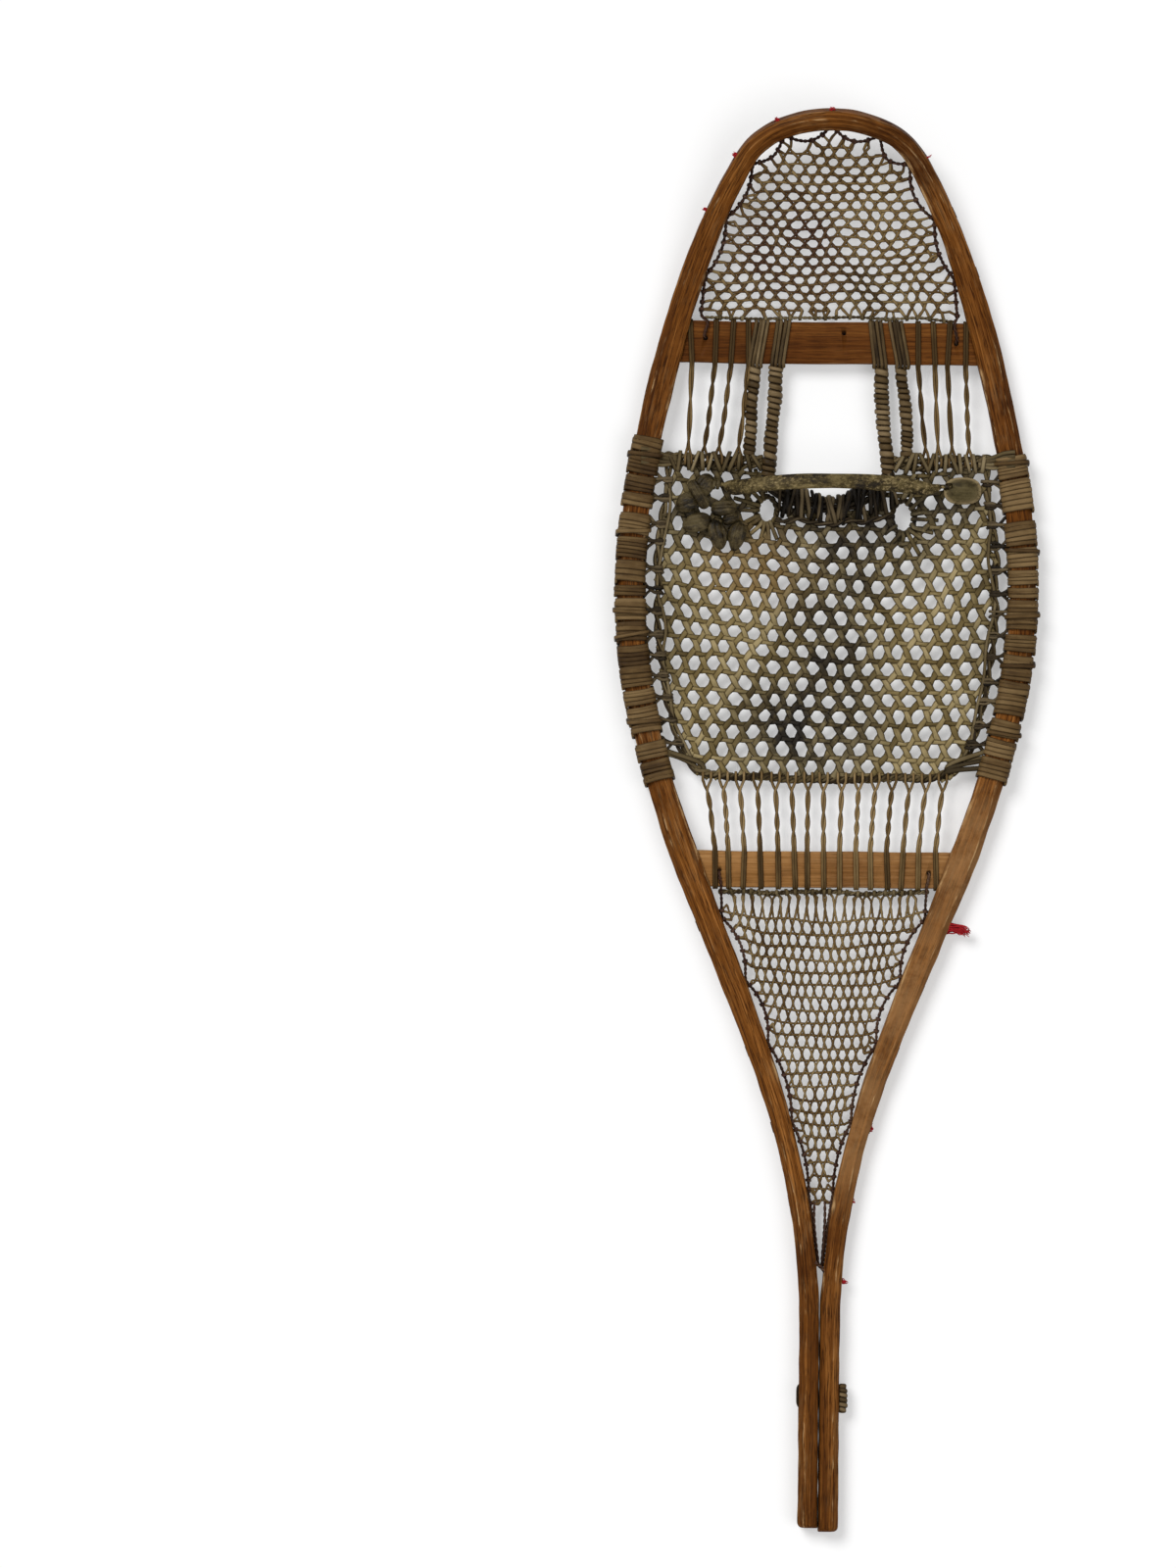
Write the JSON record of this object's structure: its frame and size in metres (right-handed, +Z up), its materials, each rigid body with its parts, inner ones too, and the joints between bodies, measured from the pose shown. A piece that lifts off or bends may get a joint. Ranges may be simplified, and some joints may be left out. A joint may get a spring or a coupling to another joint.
{
  "type": "snowshoe",
  "caption": "Long-tailed wooden snowshoe with a bent stave frame, crossbars, woven rawhide webs, a toe hole and a swinging leather toe strap.",
  "frame": {"origin": "middle of the bounding box in plan, on the underside of the rawhide wraps that it lies on", "axes": "+Y towards the toe, +Z up out of the top face, +X to the right when seen from above with the toe ahead"},
  "size_m": [0.3042, 1.0209, 0.0483],
  "materials": {
    "frame_ash": "old varnish, worn at the edges",
    "crossbar_ash": "old varnish",
    "fine_rawhide": "varnished rawhide lace",
    "rawhide": "varnished rawhide lace",
    "dark_rawhide": "dark stained rawhide lace",
    "leather": "worn strap leather",
    "wool": "frayed wool"
  },
  "bodies": {
    "snowshoe": {"frame": "frame_ash", "toe_crossbar": "crossbar_ash", "heel_crossbar": "crossbar_ash", "toe_web": "fine_rawhide", "toe_lanyard": "dark_rawhide", "toe_bar_cord": "dark_rawhide", "heel_web": "fine_rawhide", "heel_lanyard": "dark_rawhide", "heel_bar_cord": "dark_rawhide", "foot_web": "rawhide", "foot_web_front_left": "rawhide", "foot_web_front_right": "rawhide", "front_edge_cord_left": "dark_rawhide", "front_edge_cord_right": "dark_rawhide", "side_edge_cord_left": "rawhide", "side_edge_cord_right": "rawhide", "rear_edge_cord": "rawhide", "toe_cord": "dark_rawhide", "toe_cord_wrap": "rawhide", "toe_hole_cord_outer_left": "dark_rawhide", "toe_hole_cord_inner_left": "dark_rawhide", "toe_hole_cord_inner_right": "dark_rawhide", "toe_hole_cord_outer_right": "dark_rawhide", "toe_hole_wrap_outer_left": "rawhide", "toe_hole_wrap_inner_left": "rawhide", "toe_hole_wrap_inner_right": "rawhide", "toe_hole_wrap_outer_right": "rawhide", "front_strands_left": "dark_rawhide", "front_strands_right": "dark_rawhide", "rear_strands": "dark_rawhide", "frame_wrap_left": "rawhide", "frame_wrap_right": "rawhide", "edge_ties_left": "rawhide", "edge_ties_right": "rawhide", "tail_lashing": "rawhide", "tail_knot": "rawhide", "strap_keeper": "leather", "strap_tab": "leather", "strap_lacing": "leather", "wool_tufts": "wool"},
    "toe_strap": {"toe_strap": "leather"}
  },
  "joints": [
    {"name": "strap_swing", "type": "hinge", "parent": "snowshoe", "child": "toe_strap", "pos_m": [0, 0.241, 0.0156], "axis": [1, 0, 0], "range_deg": [-50, 55]}
  ]
}
